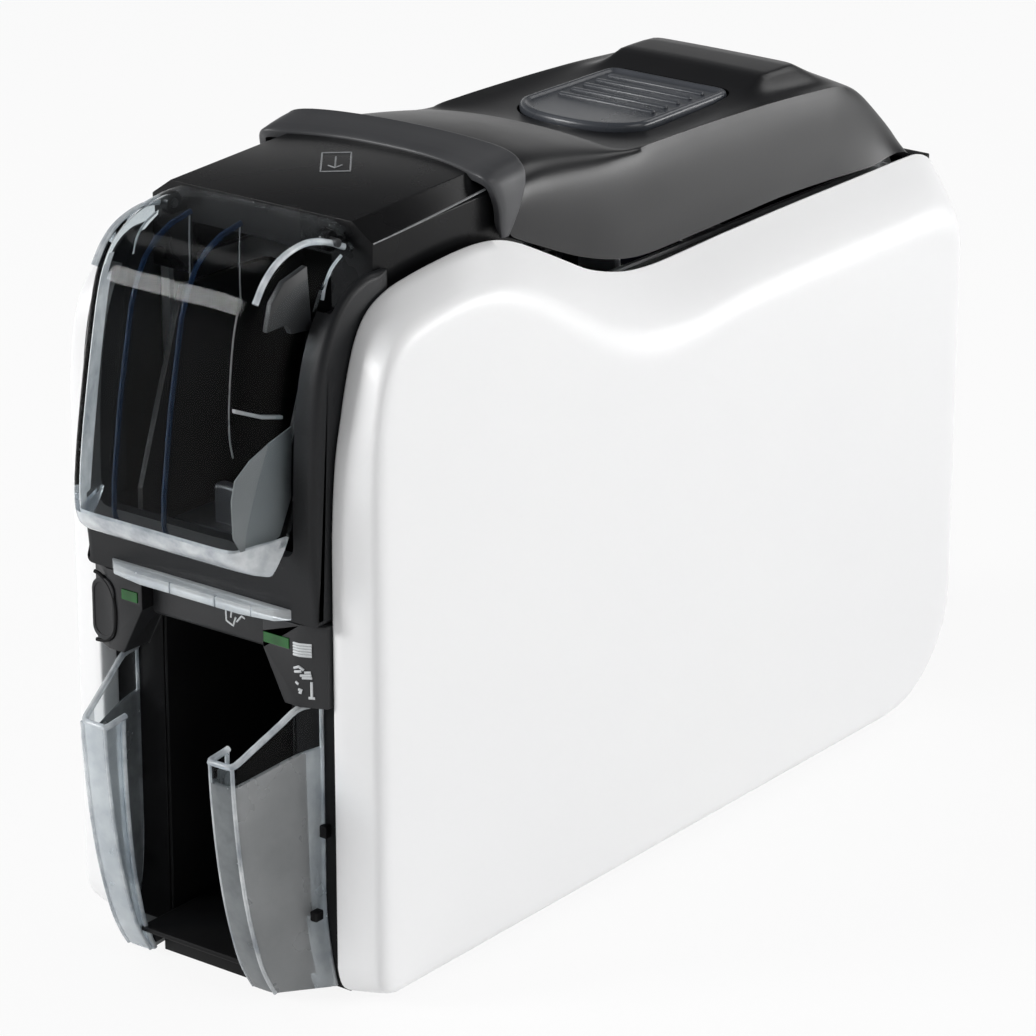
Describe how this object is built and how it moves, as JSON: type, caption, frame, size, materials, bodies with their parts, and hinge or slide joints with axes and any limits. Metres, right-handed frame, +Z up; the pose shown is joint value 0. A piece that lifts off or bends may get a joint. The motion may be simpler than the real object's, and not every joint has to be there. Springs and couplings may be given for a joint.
{
  "type": "id card printer",
  "caption": "Desktop plastic card printer with hinged clear input door, lifting top cover, clear sliding output bin, rollers, ribbon spools and print head.",
  "frame": {"origin": "middle of the footprint on the table under the feet", "axes": "+X to the viewer's right from the front, +Y to the rear, +Z up; the card openings face -Y"},
  "size_m": [0.138, 0.395, 0.278],
  "materials": {
    "white_gloss": "glossy",
    "dark_plastic": "fine matt texture",
    "foot_rubber": "matt",
    "frame_steel": "zinc plated",
    "bush_nylon": "natural",
    "shaft_steel": "ground",
    "roller_rubber": "matt",
    "motor_case": "satin",
    "brass_hub": "turned",
    "belt_rubber": "matt",
    "pusher_plastic": "satin",
    "cartridge_plastic": "satin",
    "spool_plastic": "satin",
    "ribbon_film": "shiny film",
    "head_ceramic": "ceramic",
    "sink_aluminium": "anodised",
    "cover_black": "satin",
    "collar_grey": "satin",
    "button_grey": "satin",
    "latch_plastic": "matt",
    "cap_black": "fine matt texture",
    "clear_smoke": "clear moulded plastic, light smoke",
    "fascia_grey": "fine matt texture",
    "lens_green": "lit indicator lens",
    "clear_plastic": "clear",
    "board_green": "solder mask"
  },
  "bodies": {
    "chassis": {"base_chassis": "dark_plastic", "card_guide": "dark_plastic", "card_magazine": "dark_plastic", "centre_plate": "fascia_grey", "cover_rails": "dark_plastic", "drive_belt": "belt_rubber", "drive_motor": "motor_case", "frame_cross_bars": "frame_steel", "frame_pins": "shaft_steel", "hopper_cap": "cap_black", "io_board": "board_green", "left_frame_plate": "frame_steel", "left_side_panel": "white_gloss", "lower_fascia": "fascia_grey", "main_board": "board_green", "output_chute": "dark_plastic", "power_inlet": "latch_plastic", "power_switch": "latch_plastic", "rear_panel": "dark_plastic", "rear_screws": "shaft_steel", "ribbon_cartridge": "cartridge_plastic", "ribbon_film": "ribbon_film", "right_frame_plate": "frame_steel", "right_side_panel": "white_gloss", "roller_bushes": "bush_nylon", "rubber_feet": "foot_rubber", "slot_light_guide": "clear_plastic", "status_lenses": "lens_green", "upper_fascia": "fascia_grey", "usb_socket": "shaft_steel"},
    "cover": {"main_cover": "cover_black", "cover_collar": "collar_grey", "button_well": "cover_black", "head_bracket": "frame_steel", "head_heat_sink": "sink_aluminium", "print_head": "head_ceramic", "latch_guides": "cover_black"},
    "release": {"release_button": "button_grey"},
    "latch": {"latch_slider": "latch_plastic"},
    "door": {"input_door": "clear_smoke", "door_hinge_pins": "shaft_steel"},
    "bin": {"bin_right_wing": "clear_smoke", "bin_left_wing": "clear_smoke", "bin_floor": "dark_plastic"},
    "power": {"power_button": "fascia_grey"},
    "pusher": {"card_pusher": "pusher_plastic"},
    "feed_roller": {"feed_roller_shaft": "shaft_steel", "feed_roller_tyre": "roller_rubber"},
    "entry_roller": {"entry_roller_shaft": "shaft_steel", "entry_roller_tyre": "roller_rubber"},
    "platen": {"platen_shaft": "shaft_steel", "platen_sleeve": "roller_rubber"},
    "exit_roller": {"exit_roller_shaft": "shaft_steel", "exit_roller_tyre": "roller_rubber"},
    "pinch": {"pinch_roller": "shaft_steel"},
    "motor_rotor": {"motor_pulley": "brass_hub"},
    "takeup": {"takeup_spool": "spool_plastic", "takeup_film_roll": "ribbon_film"},
    "supply": {"supply_spool": "spool_plastic", "supply_film_roll": "ribbon_film"}
  },
  "joints": [
    {"name": "cover_hinge", "type": "hinge", "parent": "chassis", "child": "cover", "pos_m": [0, 0.171, 0.218], "axis": [-1, 0, 0], "range_deg": [0, 62]},
    {"name": "release_press", "type": "slide", "parent": "cover", "child": "release", "axis": [0, 0, -1], "range_m": [0, 0.003], "stiffness_N_per_m": 900, "springref_m": -0.001},
    {"name": "latch_draw", "type": "slide", "parent": "cover", "child": "latch", "axis": [0, -1, 0], "range_m": [0, 0.003]},
    {"name": "door_hinge", "type": "hinge", "parent": "chassis", "child": "door", "pos_m": [0, -0.144, 0.2655], "axis": [-1, 0, 0], "range_deg": [0, 95]},
    {"name": "bin_slide", "type": "slide", "parent": "chassis", "child": "bin", "axis": [0, -1, 0], "range_m": [0, 0.044]},
    {"name": "power_press", "type": "slide", "parent": "chassis", "child": "power", "axis": [0, 1, 0], "range_m": [0, 0.0012], "stiffness_N_per_m": 1200, "springref_m": -0.0006},
    {"name": "pusher_lift", "type": "slide", "parent": "chassis", "child": "pusher", "axis": [0, 0, 1], "range_m": [0, 0.068]},
    {"name": "motor_spin", "type": "hinge", "parent": "chassis", "child": "motor_rotor", "pos_m": [0, -0.02204, 0.084], "axis": [-1, 0, 0], "continuous": true},
    {"name": "feed_spin", "type": "hinge", "parent": "chassis", "child": "feed_roller", "pos_m": [0, -0.112, 0.143], "axis": [-1, 0, 0], "continuous": true},
    {"name": "entry_spin", "type": "hinge", "parent": "chassis", "child": "entry_roller", "pos_m": [0, -0.066, 0.143], "axis": [-1, 0, 0], "continuous": true},
    {"name": "platen_spin", "type": "hinge", "parent": "chassis", "child": "platen", "pos_m": [0, 0.01804, 0.143], "axis": [-1, 0, 0], "continuous": true},
    {"name": "exit_spin", "type": "hinge", "parent": "chassis", "child": "exit_roller", "pos_m": [0, 0.07396, 0.143], "axis": [-1, 0, 0], "continuous": true},
    {"name": "pinch_spin", "type": "hinge", "parent": "chassis", "child": "pinch", "pos_m": [0, -0.066, 0.15576], "axis": [-1, 0, 0], "continuous": true},
    {"name": "takeup_spin", "type": "hinge", "parent": "chassis", "child": "takeup", "pos_m": [0, -0.03392, 0.19], "axis": [-1, 0, 0], "continuous": true},
    {"name": "supply_spin", "type": "hinge", "parent": "chassis", "child": "supply", "pos_m": [0, 0.08397, 0.19], "axis": [-1, 0, 0], "continuous": true}
  ],
  "couplings": [
    {"joint": "latch_draw", "follows": "release_press", "ratio": 1},
    {"joint": "feed_spin", "follows": "motor_spin", "ratio": 1},
    {"joint": "entry_spin", "follows": "motor_spin", "ratio": 1},
    {"joint": "platen_spin", "follows": "motor_spin", "ratio": 1},
    {"joint": "exit_spin", "follows": "motor_spin", "ratio": 1},
    {"joint": "pinch_spin", "follows": "motor_spin", "ratio": -1.4},
    {"joint": "supply_spin", "follows": "takeup_spin", "ratio": 0.7333}
  ]
}
